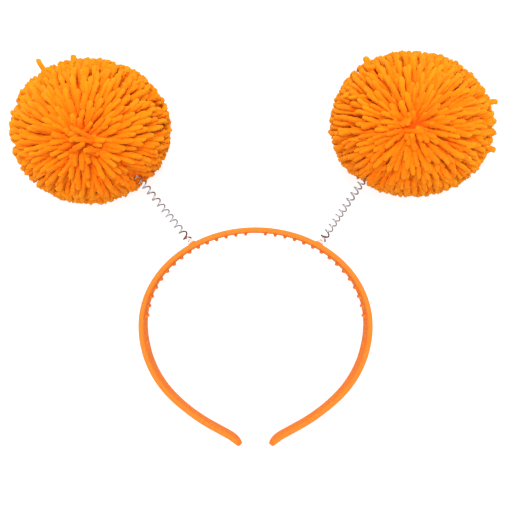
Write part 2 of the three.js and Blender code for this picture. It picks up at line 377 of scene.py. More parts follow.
bend = band.modifiers.new("bend", "CURVE")
bend.object = head_line
bend.deform_axis = "POS_X"
mirror = band.modifiers.new("mirror", "MIRROR")
mirror.use_clip = True
mirror.merge_threshold = seam_width
apply_modifiers(band)
edit()
pick_all()
bpy.ops.mesh.remove_doubles(threshold=HAIR / 2)
bpy.ops.mesh.normals_make_consistent(inside=False)
leave_edit()
across = max(v.co.x for v in band.data.vertices) * 2
print("the band is", round(across / MM, 1), "mm across,", triangles(band), "triangles")

# %% The sides and their seats
seat_reach = 37.3 * MM
seat_diameter = 5.2 * MM
seat_height = 0.8 * MM
seat_rounding = 0.35 * MM
SEAT_SIDES = 32
SEAT_STEPS = 3
# Edges that turn by less than this are shaded smooth.
smooth_below = math.radians(35)


class Side:
    """One side of the bopper: how its spring leans and stretches, and how its pompom sits.

    Angles are given in degrees and lengths in millimetres.
    """

    def __init__(self, name, sign, lean, pitch, reach, aside, turn, pole, bulges, strays,
                 spring_seen, seed):
        self.name = name
        self.sign = sign
        self.lean = math.radians(lean)
        self.pitch = pitch * MM
        self.reach = reach * MM
        self.aside = aside * MM
        self.turn = math.radians(turn)
        self.pole = Vector(pole).normalized()
        self.bulges = bulges
        self.strays = strays
        self.spring_seen = spring_seen
        self.seed = seed

    def foot(self):
        """Where the spring's line starts, on the outside face of the crown."""
        wide = half_width + band_thickness
        high = inside_height + band_thickness
        return Vector((self.sign * seat_reach, high * math.sqrt(1 - (seat_reach / wide) ** 2), 0))

    def stand(self):
        """Stands a piece that was modelled along Z on the crown, along the spring's line."""
        flip = Matrix.Rotation(-math.pi / 2, 4, "X")
        lean = Matrix.Rotation(-self.sign * self.lean, 4, "Z")
        return Matrix.Translation(self.foot()) @ lean @ flip

    def along(self):
        return Vector((self.sign * math.sin(self.lean), math.cos(self.lean), 0))

    def outward(self):
        return Vector((self.sign * math.cos(self.lean), -math.sin(self.lean), 0))

    def middle(self):
        """The middle of the pompom."""
        return self.foot() + self.reach * self.along() + self.aside * self.outward()


# A bulge or a hollow of the ball has an angle in the band's plane, and how far it stands out, as a
# share of the reach. A stray strand has such an angle, a length from the ball's middle, and a width
# as a share of the other strands' thickness.
left = Side("left", -1, lean=38.8, pitch=4.2, reach=87.3, aside=4.2, turn=15,
            pole=(0.08, -0.33, 1),
            bulges=((133, 0.036), (60, -0.022), (10, -0.012), (307, -0.02)),
            strays=((127.2, 53.5, 0.9), (104.5, 46.5, 1.1)),
            spring_seen=True, seed=7)
right = Side("right", 1, lean=34.4, pitch=3.75, reach=87.6, aside=5.5, turn=-12,
             pole=(-0.25, -0.21, 1),
             bulges=((140, 0.03), (203, 0.045), (268, -0.012), (300, -0.008)),
             strays=((125.7, 48.5, 1.1), (15.3, 51, 1), (8.3, 48.5, 1), (2, 48, 1), (-17, 50.2, 1.1)),
             spring_seen=False, seed=19)
sides = (left, right)

for side in sides:
    start_clean()
    height = seat_height + band_thickness / 2
    bpy.ops.mesh.primitive_cylinder_add(vertices=SEAT_SIDES, radius=seat_diameter / 2, depth=height)
    lug = bpy.context.object
    edit()
    pick_faces(lambda centre, normal: normal.z > FACING)
    bpy.ops.mesh.bevel(offset=seat_rounding, segments=SEAT_STEPS, affect="EDGES")
    leave_edit()
    lug.matrix_world = side.stand() @ Matrix.Translation((0, 0, seat_height - height / 2))
    join = band.modifiers.new("seat", "BOOLEAN")
    join.operation = "UNION"
    join.solver = "EXACT"
    join.object = lug
    apply_modifiers(band)
    bpy.data.objects.remove(lug)
bpy.data.objects.remove(head_line)
lay_down(band)
bpy.ops.object.shade_smooth_by_angle(angle=smooth_below)
print("band with seats:", triangles(band), "triangles")

# %% [markdown]
# ## The springs
# Each spring is a drawn steel wire wound into an open coil. A Screw modifier winds a small circle
# round an axis, which is just what the winding machine does. The coil isn't perfectly even: it has
# been pulled and bent in use, so some turns are then pushed along with proportional editing. The
# turns at the foot are stained dark, which a point attribute tells the material.

# %% Wind the springs
gap = 0.3 * MM
glue_foot = 1.2 * MM
coil_diameter = 4.7 * MM
wire_diameter = 0.9 * MM
SPRING_TURNS = 14.5
STEPS_PER_TURN = 28
WIRE_SIDES = 10
# Shares of a spring's length at which turns are pushed along, and how far. Each push fades out over
# a share of the length on both sides.
turn_shifts = ((0.2, 0.45 * MM), (0.42, -0.5 * MM), (0.63, 0.4 * MM), (0.85, -0.35 * MM))
SHIFT_FADE = 0.16
# How far up the spring the back of a turn stands from its front, as a share of its depth.
TURN_LEAN = 0.45
# Turns of the coil, from its foot, that are stained through, and where the stain has gone.
STAINED_TURNS = 1.0
CLEAN_TURNS = 1.6
spring_start = seat_height + gap + glue_foot + gap + wire_diameter / 2


def stain_at(turns):
    return min(1, max(0, (CLEAN_TURNS - turns) / (CLEAN_TURNS - STAINED_TURNS)))


def wind(side):
    start_clean()
    radius = (coil_diameter - wire_diameter) / 2
    bpy.ops.mesh.primitive_circle_add(vertices=WIRE_SIDES, radius=wire_diameter / 2,
                                      location=(radius, 0, 0), rotation=(math.pi / 2, 0, 0))
    spring = bpy.context.object
    spring.name = "coil_" + side.name
    bpy.ops.object.transform_apply()
    screw = spring.modifiers.new("wind", "SCREW")
    screw.axis = "Z"
    screw.angle = 2 * math.pi * SPRING_TURNS
    screw.screw_offset = side.pitch * SPRING_TURNS
    screw.steps = screw.render_steps = round(SPRING_TURNS * STEPS_PER_TURN)
    screw.use_smooth_shade = True
    apply_modifiers(spring)
    edit()
    pick_all()
    bpy.ops.mesh.remove_doubles(threshold=HAIR / 4)
    bpy.ops.mesh.fill_holes(sides=WIRE_SIDES)
    pick_all()
    bpy.ops.mesh.normals_make_consistent(inside=False)
    leave_edit()
    mark(spring.data, "stain", [stain_at(v.co.z / side.pitch) for v in spring.data.vertices])
    edit()
    length = side.pitch * SPRING_TURNS
    for share, shift in turn_shifts:
        middle = length * share
        pick_faces(lambda centre, normal: abs(centre.z - middle) < side.pitch / 2)
        bpy.ops.transform.translate(value=(0, 0, shift), use_proportional_edit=True,
                                    proportional_edit_falloff="SMOOTH",
                                    proportional_size=length * SHIFT_FADE)
    leave_edit()
    lean = Matrix.Identity(4)
    lean[2][1] = TURN_LEAN
    spring.data.transform(lean)
    spring.matrix_world = side.stand() @ Matrix.Translation((0, 0, spring_start))
    lay_down(spring)
    return spring


springs = [wind(side) for side in sides]
print("springs:", [triangles(spring) for spring in springs], "triangles")

# %% [markdown]
# ## The glue
# A drop of clear glue holds the foot of each spring. It is thickest on the seat and climbs a little
# way up inside the first turns. A short cylinder is extruded and narrowed into that post, and a
# Subdivision Surface modifier rounds it off as surface tension would.

# %% Drops of glue
glue_diameter = 3.9 * MM
glue_post = 3.8 * MM
post_clearance = 0.45 * MM
# Each step up the post: its share of the height, and how much narrower it gets.
post_steps = ((0.3, 0.95), (0.45, 0.98), (0.25, 0.7))
# Insets that hold the edge of the top and of the underside when the drop is smoothed.
top_inset = 0.05 * glue_diameter
under_inset = 0.06 * glue_diameter
GLUE_SIDES = 16
GLUE_LEVELS = 2


def drop_of_glue(side):
    start_clean()
    bpy.ops.mesh.primitive_cylinder_add(vertices=GLUE_SIDES, radius=glue_diameter / 2,
                                        depth=glue_foot)
    drop = bpy.context.object
    drop.name = "drop_" + side.name
    post_share = (coil_diameter / 2 - wire_diameter - post_clearance) / (glue_diameter / 2)
    edit()
    pick_faces(lambda centre, normal: normal.z > FACING)
    bpy.ops.mesh.inset(thickness=glue_diameter / 2 * (1 - post_share))
    for lift, narrow in post_steps:
        bpy.ops.mesh.extrude_region_move(TRANSFORM_OT_translate={"value": (0, 0, glue_post * lift)})
        bpy.ops.transform.resize(value=(narrow, narrow, 1), center_override=(0, 0, 0))
    bpy.ops.mesh.inset(thickness=top_inset)
    pick_faces(lambda centre, normal: normal.z < -FACING)
    bpy.ops.mesh.inset(thickness=under_inset)
    leave_edit()
    smooth = drop.modifiers.new("smooth", "SUBSURF")
    smooth.levels = smooth.render_levels = GLUE_LEVELS
    apply_modifiers(drop)
    bpy.ops.object.shade_smooth()
    drop.matrix_world = side.stand() @ Matrix.Translation((0, 0, seat_height + gap + glue_foot / 2))
    lay_down(drop)
    return drop


drops = [drop_of_glue(side) for side in sides]
print("drops:", [triangles(drop) for drop in drops], "triangles")

# %% [markdown]
# ## The pompoms
# A pompom is a bundle of thick soft yarn, tied tightly in the middle and cut. It parts at two poles,
# where few strands end, and is densest halfway between them. The ball isn't quite round: each has
# its own bulges and hollows. Thousands of ends are placed by rule. They lie on a spiral of even
# spacing, crowded away from the poles and shaken by chance from a fixed seed. Then they are pushed
# apart a few times, as soft strands push each other.

# %% Where the strands end
pompom_half = Vector((94, 84.5, 78)) / 2 * MM
# Share of the solid pompom's reach that the yarn fills, and how narrow a bulge is.
FULLNESS = 0.97
BULGE_FOCUS = 6
GOLDEN_ANGLE = math.pi * (3 - math.sqrt(5))
# At 1 the ends are spread evenly, and below it they crowd halfway between the poles.
EVENNESS = 0.36
# How far an end is shaken, as a share of the spacing.
SHAKE = 0.18
# Every end is pushed away from the ends round it, a few times over.
NEIGHBOURS = 6
PUSHES = 3
PUSH_SHARE = 0.25


def pompom_reach(side, way):
    """How far the pompom reaches from its middle in a direction."""
    turned = Matrix.Rotation(-side.turn, 3, "Z") @ way
    swell = 1 + sum(share * max(0, way.dot(heading(math.radians(degrees)))) ** BULGE_FOCUS
                    for degrees, share in side.bulges)
    return FULLNESS * swell / Vector([turned[i] / pompom_half[i] for i in range(3)]).length


def shaken(way, draw, amount):
    return (way + Vector([draw.gauss(0, amount) for _ in range(3)])).normalized()


def spread_ways(count, pole, draw):
    """Directions on a spiral round a pole, each moved a little by chance and then pushed apart."""
    turn = Vector((0, 0, 1)).rotation_difference(pole)
    spacing = math.sqrt(4 * math.pi / count)
    ways = []
    for number in range(count):
        climb = 1 - (2 * number + 1) / count
        height = EVENNESS * climb + (1 - EVENNESS) * climb ** 3
        ring = math.sqrt(1 - height * height)
        angle = GOLDEN_ANGLE * number
        way = turn @ Vector((ring * math.cos(angle), ring * math.sin(angle), height))
        ways.append(shaken(way, draw, SHAKE * spacing))
    for _ in range(PUSHES):
        tree = KDTree(len(ways))
        for number, way in enumerate(ways):
            tree.insert(way, number)
        tree.balance()
        pushed = []
        for way in ways:
            near = [place for place, _, _ in tree.find_n(way, NEIGHBOURS + 1)]
            middle = sum(near, Vector()) / len(near)
            pushed.append((way + PUSH_SHARE * (way - middle)).normalized())
        ways = pushed
    return ways


print("reach at a pole:", [round(pompom_reach(side, side.pole) / MM, 1) for side in sides], "mm")

# %% [markdown]
# ### How a strand runs
# Each strand is a smooth curve from inside the ball to its cut end. Halfway between the poles it
# stands straight out, and nearer to a pole it leans over, until it lies almost flat on the ball. The
# few that end in the dent at a pole come from one side and lie across it.

# %% How a strand runs
strand_thickness = 3.4 * MM
ROOT_REACH = 0.5
# Share of the way from the pole at which a strand's pull and root stand, least at the pole.
POLE_SHARE = 0.12
POLE_POWER = 2
ROOT_SHARE = 0.6
# How far chance turns a strand's pull, for most strands and for the loose ones, and their share.
STEADY = 0.05
LOOSE = 0.3
LOOSE_SHARE = 0.03
# Within the hollow, angles from the pole at which a crossing strand's root and pull stand.
pole_hollow = math.radians(12)
crossing_root = math.radians(50)
crossing_pull = math.radians(20)
# How deep the ball is dented at a pole, as a share of its reach, and how wide.
POLE_DIP = 0.1
pole_dip_width = math.radians(28)
AWAY_POWER = 1.5
# How far the cut end is drawn in, as a share of the thickness.
END_BACK = 0.1


def nearest_pole(side, way):
    return side.pole if way.dot(side.pole) > 0 else -side.pole


def pole_angle(side, way):
    return way.angle(nearest_pole(side, way))


def away_from_pole(side, way):
    """From 0 at a pole to 1 halfway between the poles. The yarn's painted shade and light follow it.
    """
    return (pole_angle(side, way) / (math.pi / 2)) ** AWAY_POWER


def pole_dip(side, way):
    """The share of the reach that is left where the ball is dented at its poles."""
    return 1 - POLE_DIP * math.exp(-(pole_angle(side, way) / pole_dip_width) ** 2)


def strand(side, way, reach, draw):
    """The start, the middle pull and the end of one strand, from the pompom's middle."""
    pole = nearest_pole(side, way)
    share = POLE_SHARE + (1 - POLE_SHARE) * (way.angle(pole) / (math.pi / 2)) ** POLE_POWER
    looseness = LOOSE if draw.random() < LOOSE_SHARE else STEADY
    pull_way = shaken(pole.slerp(way, share), draw, looseness)
    root_way = pole.slerp(way, share * (ROOT_SHARE + (1 - ROOT_SHARE) * share))
    if way.angle(pole) < pole_hollow:
        hinge = shaken(pole, draw, 1).cross(pole)
        root_way = Matrix.Rotation(crossing_root, 3, hinge) @ pole
        pull_way = Matrix.Rotation(crossing_pull, 3, hinge) @ pole
    return (root_way * pompom_reach(side, root_way) * ROOT_REACH,
            pull_way * pompom_reach(side, pull_way) * min(1, reach),
            way * (pompom_reach(side, way) * reach - strand_thickness * END_BACK))


print("a strand is", round(strand_thickness / MM, 1), "mm thick")

# %% [markdown]
# ### Room for the springs
# Each spring runs into its pompom, and the strands part round it. A strand whose pull or end would
# lie on the coil is moved sideways, and one that still crosses it is left out. On the left pompom
# the strands in front of the spring are short, so its last turns are seen over the rim.

# %% Keep the coils clear
# Strands keep clear of a coil up to this height. Further up the ball hides both.
clear_height = 62 * MM
spring_room = (coil_diameter + strand_thickness) / 2 + gap
# Places along a strand that are tested against the coil.
TESTS = 13
# Strands in front of a spring that is seen, within this share of the room, end at this share of the
# pompom's outline.
CUT_WITHIN = 1.1
SEEN_FROM = 0.84


def coil_offset(side, place):
    """How far up the spring a place lies, and its offset sideways from the spring's line."""
    step = place + side.middle() - side.foot()
    height = step.dot(side.along())
    return height, step - height * side.along()


def part_from_coil(side, pull, tip):
    offsets = [coil_offset(side, place)[1] for place in (pull, tip)]
    if min(offset.length for offset in offsets) > spring_room:
        return pull, tip
    away = (offsets[0] + offsets[1]).normalized()
    return [place + away * max(0, spring_room - offset.dot(away))
            for place, offset in zip((pull, tip), offsets)]


def crosses_coil(side, root, pull, tip):
    for test in range(TESTS):
        share = test / (TESTS - 1)
        place = root.lerp(pull, share).lerp(pull.lerp(tip, share), share)
        height, offset = coil_offset(side, place)
        if height < clear_height + gap and offset.length < spring_room - gap:
            return True
    return False


def bared_reach(side, way, reach):
    """The reach of a strand, cut short where it would hide the end of a spring that is seen."""
    flat = Vector((way.x, way.y, 0))
    lateral = coil_offset(side, way * pompom_reach(side, way))[1]
    in_front = way.z > 0 and abs(lateral.dot(side.outward())) < CUT_WITHIN * spring_room
    if side.spring_seen and in_front and way.dot(side.along()) < 0:
        return min(reach, SEEN_FROM / flat.length)
    return reach


print("room round a spring's line:", round(spring_room / MM, 2), "mm")

# %% [markdown]
# ### Every strand of a pompom
# Most strands end on the outside of the ball, and some are cut a little short. Shorter straight ones
# fill the room between them where the ball is densest, and a few strays stand out where the real
# pompom has them. Each strand also gets a value of painted light and tone: painted shade, deep
# orange, at a pole, painted light, paler, halfway between the poles, and some random tone.

# %% List the strands
STRAND_COUNT = 1450
# Share of the strands that stay in the hollow at a pole.
HOLLOW_KEPT = 0.7
# Share of the strands that are cut short, what is left of their reach, and the others' spread.
SHORT_SHARE = 0.3
SHORT_REACH = (0.88, 0.97)
REACH_SPREAD = 0.01
THICKNESS_RANGE = (0.86, 1.1)
# How much of a strand's value comes from its place, as painted light and shade, and not from
# chance, as a random tone.
PAINTED_LIGHT_SHARE = 0.6
UNDER_COUNT = 760
UNDER_FROM_POLE = 0.55
UNDER_REACH = (0.9, 0.95)
UNDER_PULL = 0.75
# Shares of the under-strands' painted light and shade that are kept, drawn at random.
UNDER_LIGHT_AND_TONE = (0.7, 1)
STRAY_SPREAD = 0.05
STRAY_PULL = 0.8
# The strays' painted light, pale as halfway between the poles.
STRAY_LIGHT_AND_TONE = 0.8


def outer_strands(side, draw):
    rows = []
    for way in spread_ways(STRAND_COUNT, side.pole, draw):
        in_hollow = pole_angle(side, way) < pole_hollow
        if in_hollow and draw.random() > HOLLOW_KEPT:
            continue
        short = draw.random() < SHORT_SHARE
        reach = draw.uniform(*SHORT_REACH) if short else 1 + draw.gauss(0, REACH_SPREAD)
        if not in_hollow:
            reach *= pole_dip(side, way)
        thickness = strand_thickness * draw.uniform(*THICKNESS_RANGE)
        # Painted light and shade from the strand's place, and a random tone.
        shade = PAINTED_LIGHT_SHARE * away_from_pole(side, way) + (1 - PAINTED_LIGHT_SHARE) * draw.random()
        root, pull, tip = strand(side, way, bared_reach(side, way, reach), draw)
        pull, tip = part_from_coil(side, pull, tip)
        if not crosses_coil(side, root, pull, tip):
            rows.append((root, pull, tip, thickness, shade))
    return rows


def under_strands(side, draw):
    """Shorter straight strands between the others, halfway between the poles."""
    rows = []
    for way in spread_ways(UNDER_COUNT, side.pole, draw):
        from_pole = away_from_pole(side, way)
        reach = bared_reach(side, way, draw.uniform(*UNDER_REACH)) * pompom_reach(side, way)
        root, pull, tip = (way * reach * share for share in (ROOT_REACH, UNDER_PULL, 1))
        if from_pole > UNDER_FROM_POLE and not crosses_coil(side, root, pull, tip):
            # Painted light and shade that grow away from the pole, partly taken off at random.
            rows.append((root, pull, tip, strand_thickness, from_pole * draw.uniform(*UNDER_LIGHT_AND_TONE)))
    return rows


def stray_strands(side, draw):
    """Longer strands that stand out of the ball, each at an angle in the band's plane."""
    rows = []
    for degrees, length, width in side.strays:
        flat = heading(math.radians(degrees))
        way = (flat + Vector((0, 0, draw.gauss(0, STRAY_SPREAD)))).normalized()
        root = way * pompom_reach(side, way) * ROOT_REACH
        pull = shaken(way, draw, STRAY_SPREAD) * length * STRAY_PULL * MM
        rows.append((root, pull, way * length * MM, strand_thickness * width, STRAY_LIGHT_AND_TONE))
    return rows


def strand_table(side):
    draw = random.Random(side.seed)
    return outer_strands(side, draw) + under_strands(side, draw) + stray_strands(side, draw)


tables = {side.name: strand_table(side) for side in sides}
print("strands:", {name: len(rows) for name, rows in tables.items()})

# %% [markdown]
# ### From points to yarn
# So many strands would be slow to model by hand, and each has its own curve, so Geometry Nodes
# grows them. Every strand is a point with its three places, its thickness and its value of painted
# light and tone as attributes. The nodes bend a short line to a Bezier curve of the three places,
# and sweep a small six-sided outline along it. The outline has three soft lobes and turns on its
# way, like the three twisted plies of the yarn, and it narrows at the cut end.

# %% Nodes that grow strands
STRAND_POINTS = 8
STRAND_SIDES = 6
# How strongly a strand's points crowd towards its cut end.
CROWDING = 1.6
# How far the lobes stand out, and how far the outline turns, on its way and by a strand's value
# of painted light and tone.
PLY_LOBE = 0.1
PLY_TURN = 5.6
START_TURN = 6.28
# Width of a strand at shares of its length, and at its cut end.
strand_widths = ((0.6, 1.0), (0.9, 1.0), (0.97, 0.95))
CUT_WIDTH = 0.55


class Nodes:
    """Short names for adding and joining nodes in one tree."""

    def __init__(self, tree):
        self.tree = tree

    def add(self, kind, settings=None, **values):
        node = self.tree.nodes.new(kind)
        for name, value in (settings or {}).items():
            setattr(node, name, value)
        self.fill(node, **values)
        return node

    def fill(self, node, **values):
        """Sets inputs by their names, which have a low line here for each space."""
        for name, value in values.items():
            self.give(node, name.replace("_", " "), value)

    def give(self, node, name, value):
        """Sets an input by name or number, from an output or to a plain value."""
        socket = node.inputs[name]
        if isinstance(value, bpy.types.NodeSocket):
            self.tree.links.new(value, socket)
        else:
            socket.default_value = value

    def work_out(self, kind, operation, values, **named):
        node = self.add(kind, {"operation": operation}, **named)
        for number, value in enumerate(values):
            self.give(node, number, value)
        return node.outputs[0]

    def math(self, operation, *values):
        return self.work_out("ShaderNodeMath", operation, values)

    def vector(self, operation, *values, **named):
        return self.work_out("ShaderNodeVectorMath", operation, values, **named)


def blend_places(nodes, start, end, share):
    """The place a share of the way from one place to another."""
    way = nodes.vector("SUBTRACT", end, start)
    return nodes.vector("ADD", start, nodes.vector("SCALE", way, Scale=share))


def strand_nodes():
    tree = bpy.data.node_groups.new("grow_strands", "GeometryNodeTree")
    for name, way in (("Points", "INPUT"), ("Strands", "OUTPUT")):
        tree.interface.new_socket(name, in_out=way, socket_type="NodeSocketGeometry")
    nodes = Nodes(tree)
    points = nodes.add("NodeGroupInput").outputs["Points"]

    def read(name, kind):
        return nodes.add("GeometryNodeInputNamedAttribute", {"data_type": kind}, Name=name).outputs[0]

    def store(geometry, name, kind, value):
        return nodes.add("GeometryNodeStoreNamedAttribute", {"data_type": kind, "domain": "POINT"},
                         Geometry=geometry, Name=name, Value=value).outputs[0]

    line = nodes.add("GeometryNodeCurvePrimitiveLine").outputs[0]
    line = nodes.add("GeometryNodeResampleCurve", Curve=line, Count=STRAND_POINTS).outputs[0]
    lines = nodes.add("GeometryNodeInstanceOnPoints", Points=points, Instance=line).outputs[0]
    lines = nodes.add("GeometryNodeRealizeInstances", Geometry=lines).outputs[0]

    # The points of a line crowd towards its cut end, where the outline changes most.
    even = nodes.add("GeometryNodeSplineParameter").outputs["Factor"]
    left_over = nodes.math("POWER", nodes.math("SUBTRACT", 1.0, even), CROWDING)
    lines = store(lines, "along", "FLOAT", nodes.math("SUBTRACT", 1.0, left_over))
    along = read("along", "FLOAT")
    root, pull, tip = (read(name, "FLOAT_VECTOR") for name in ("root", "pull", "tip"))
    first = blend_places(nodes, root, pull, along)
    second = blend_places(nodes, pull, tip, along)
    place = blend_places(nodes, first, second, along)
    strands = nodes.add("GeometryNodeSetPosition", Geometry=lines, Position=place).outputs[0]
    start_turn = nodes.math("MULTIPLY", read("shade", "FLOAT"), START_TURN)
    turn = nodes.math("MULTIPLY_ADD", along, PLY_TURN, start_turn)
    strands = nodes.add("GeometryNodeSetCurveTilt", Curve=strands, Tilt=turn).outputs[0]

    circle = nodes.add("GeometryNodeCurvePrimitiveCircle", Resolution=STRAND_SIDES, Radius=1.0)
    spoke = nodes.add("GeometryNodeInputPosition").outputs[0]
    outline = store(circle.outputs[0], "around", "FLOAT_VECTOR", spoke)
    corner = nodes.add("GeometryNodeInputIndex").outputs[0]
    odd = nodes.math("MODULO", corner, 2.0)
    lobe = nodes.math("MULTIPLY_ADD", odd, -2 * PLY_LOBE, 1 + PLY_LOBE)
    outline = nodes.add("GeometryNodeSetPosition", Geometry=outline,
                        Position=nodes.vector("SCALE", spoke, Scale=lobe)).outputs[0]

    end = nodes.add("ShaderNodeFloatCurve", Value=along)
    shape = end.mapping.curves[0]
    shape.points[0].location = (0.0, 1.0)
    shape.points[1].location = (1.0, CUT_WIDTH)
    for share, width in strand_widths:
        shape.points.new(share, width)
    end.mapping.update()
    half = nodes.math("MULTIPLY", read("thickness", "FLOAT"), 0.5)
    size = nodes.math("MULTIPLY", end.outputs[0], half)
    yarn = nodes.add("GeometryNodeCurveToMesh", Curve=strands, Profile_Curve=outline,
                     Scale=size, Fill_Caps=True).outputs[0]
    yarn = nodes.add("GeometryNodeSetShadeSmooth", Geometry=yarn).outputs[0]
    nodes.add("NodeGroupOutput", Strands=yarn)
    return tree


grow = strand_nodes()
print("nodes in the tree:", len(grow.nodes))

# %% [markdown]
# ### The core and the yarn
# Behind the strands lies a ball of packed yarn, seen only where they part. It swells halfway between
# the poles, where the real bundle is packed nearly to its outside. No strand may reach lower than its
# own thickness allows: that presses the underside flat, as the bopper's weight does.

# %% Grow the pompoms
CORE_REACH = 0.83
CORE_LEVELS = 4
# How far the core swells, and how near halfway between the poles the swelling stays.
CORE_SWELL = 0.06
SWELL_FOCUS = 4
# The core takes the ramp's painted depth shade from up to this far out along a strand, reached
# halfway between the poles.
CORE_ALONG = 0.5


def packed_core(side):
    """The ball of packed yarn that is seen deep between the strands."""
    start_clean()
    bpy.ops.mesh.primitive_ico_sphere_add(subdivisions=CORE_LEVELS, radius=CORE_REACH)
    core = bpy.context.object
    edit()
    bpy.ops.transform.resize(value=pompom_half, center_override=(0, 0, 0))
    leave_edit()
    turned = Matrix.Rotation(side.turn, 3, "Z")
    from_pole = [away_from_pole(side, (turned @ v.co).normalized()) for v in core.data.vertices]
    # Painted shade at a pole and painted light between the poles, and the ramp's painted depth shade.
    for name, share in (("shade", PAINTED_LIGHT_SHARE), ("along", CORE_ALONG)):
        mark(core.data, name, [share * value for value in from_pole])
    for vertex, value in zip(core.data.vertices, from_pole):
        vertex.co *= 1 + CORE_SWELL * value ** SWELL_FOCUS
    core.matrix_world = Matrix.Translation(side.middle()) @ Matrix.Rotation(side.turn, 4, "Z")
    lay_down(core)
    bpy.ops.object.shade_smooth()
    return core


def grow_pompom(side):
    start_clean()
    mesh = bpy.data.meshes.new("strands_" + side.name)
    mesh.vertices.add(len(tables[side.name]))
    *columns, thicknesses, lights_and_tones = zip(*tables[side.name])
    for name, column in zip(("root", "pull", "tip"), columns):
        places = [to_world @ (side.middle() + place) for place in column]
        for place, thickness in zip(places, thicknesses):
            place.z = max(place.z, thickness / 2 * (1 + PLY_LOBE))
        mark(mesh, name, [v for place in places for v in place], "FLOAT_VECTOR", "vector")
    mark(mesh, "thickness", thicknesses)
    # Each strand's value of painted light and shade, with some random tone.
    mark(mesh, "shade", lights_and_tones)
    pompom = bpy.data.objects.new("yarn_" + side.name, mesh)
    bpy.context.scene.collection.objects.link(pompom)
    modifier = pompom.modifiers.new("grow", "NODES")
    modifier.node_group = grow
    pompom.select_set(True)
    apply_modifiers(pompom)
    for name in ("root", "pull", "tip", "thickness"):
        pompom.data.attributes.remove(pompom.data.attributes[name])
    core = packed_core(side)
    start_clean()
    core.select_set(True)
    pompom.select_set(True)
    bpy.context.view_layer.objects.active = pompom
    bpy.ops.object.join()
    return pompom


pompoms = [grow_pompom(side) for side in sides]
print("pompoms:", [triangles(pompom) for pompom in pompoms], "triangles")
print("kept attributes:", [a.name for a in pompoms[0].data.attributes])

# %% [markdown]
# ## Finishes
# Every finish is a Principled shader. All of them need a fine grain, which changes the roughness a
# little and gives the light something to catch. It is one node group, with a scale and a depth of
# its own in each material.

# %% A shared grain


def colour(red, green, blue):
    """A colour from values of 0 to 255, in the linear values that shaders use."""
    def linear(value):
        value /= 255
        return value / 12.92 if value <= 0.04045 else ((value + 0.055) / 1.055) ** 2.4
    return (linear(red), linear(green), linear(blue), 1.0)


def grain_group():
    tree = bpy.data.node_groups.new("fine_grain", "ShaderNodeTree")
    for name in ("Scale", "Depth", "Smooth", "Rough"):
        tree.interface.new_socket(name, in_out="INPUT", socket_type="NodeSocketFloat")
    for name, kind in (("Mask", "Float"), ("Roughness", "Float"), ("Normal", "Vector")):
        tree.interface.new_socket(name, in_out="OUTPUT", socket_type="NodeSocket" + kind)
    nodes = Nodes(tree)
    given = nodes.add("NodeGroupInput").outputs
    place = nodes.add("ShaderNodeTexCoord").outputs["Object"]
    noise = nodes.add("ShaderNodeTexNoise", Vector=place, Scale=given["Scale"], Detail=4.0)
    mask = noise.outputs["Fac"]
    rough = nodes.add("ShaderNodeMapRange", Value=mask, From_Min=0.3, From_Max=0.7,
                      To_Min=given["Smooth"], To_Max=given["Rough"])
    bump = nodes.add("ShaderNodeBump", Height=mask, Distance=given["Depth"], Strength=1.0)
    nodes.add("NodeGroupOutput", Mask=mask, Roughness=rough.outputs[0], Normal=bump.outputs[0])
    return tree


fine_grain = grain_group()


def new_finish(name, **values):
    """A material, its nodes, its shader with the grain in it, and the grain's mask."""
    material = bpy.data.materials.new(name)
    material.use_nodes = True
    nodes = Nodes(material.node_tree)
    shader = material.node_tree.nodes["Principled BSDF"]
    grain = nodes.add("ShaderNodeGroup", {"node_tree": fine_grain}, **values)
    nodes.fill(shader, Roughness=grain.outputs["Roughness"], Normal=grain.outputs["Normal"])
    return material, nodes, shader, grain.outputs["Mask"]


def mix_colours(nodes, share, first, second):
    """A mix of two colours. The node's inputs go by number, because their names repeat."""
    mix = nodes.add("ShaderNodeMix", {"data_type": "RGBA"})
    for number, value in ((0, share), (6, first), (7, second)):
        nodes.give(mix, number, value)
    return mix.outputs[2]


def attribute(nodes, name, output="Fac"):
    return nodes.add("ShaderNodeAttribute", {"attribute_name": name}).outputs[output]


def coat(pieces, material):
    for piece in pieces:
        piece.data.materials.clear()
        piece.data.materials.append(material)


print("shared group:", fine_grain.name)

# %% [markdown]
# ### Orange plastic
# The band is a cheap, soft-looking moulding in bright orange. It is a little translucent, so its
# shadows stay warm, and its colour drifts slightly where the melt flowed. In the soft light it shows
# hardly any highlight, and a fine satin grain from the mould spreads that.

# %% Plastic
plastic, nodes, shader, _ = new_finish("orange_plastic", Scale=900.0, Depth=0.00003,
                                       Smooth=0.45, Rough=0.6)
place = nodes.add("ShaderNodeTexCoord").outputs["Object"]
flow = nodes.add("ShaderNodeTexNoise", Vector=place, Scale=26.0, Detail=3.0, Distortion=1.2)
body_colour = mix_colours(nodes, flow.outputs["Fac"], colour(222, 114, 38), colour(232, 122, 44))
nodes.fill(shader, Base_Color=body_colour, Specular_IOR_Level=0.01, Subsurface_Weight=0.2,
           Subsurface_Radius=(1.0, 0.3, 0.1), Subsurface_Scale=3 * MM)
coat([band], plastic)
print("plastic nodes:", len(plastic.node_tree.nodes))

# %% [markdown]
# ### Spring steel and clear glue
# The wire is bright drawn steel, its roughness varied by the marks of the drawing die. Its turns at
# the foot are stained a dark red-brown. The glue is clear with a faint warm tint, smooth and
# wet-looking.

# %% Steel and glue
steel, nodes, shader, mask = new_finish("spring_steel", Scale=1400.0, Depth=0.00002,
                                        Smooth=0.35, Rough=0.5)
steel_colour = mix_colours(nodes, mask, colour(160, 165, 170), colour(184, 189, 194))
steel_colour = mix_colours(nodes, attribute(nodes, "stain"), steel_colour, colour(112, 62, 56))
nodes.fill(shader, Base_Color=steel_colour, Metallic=1.0)
coat(springs, steel)

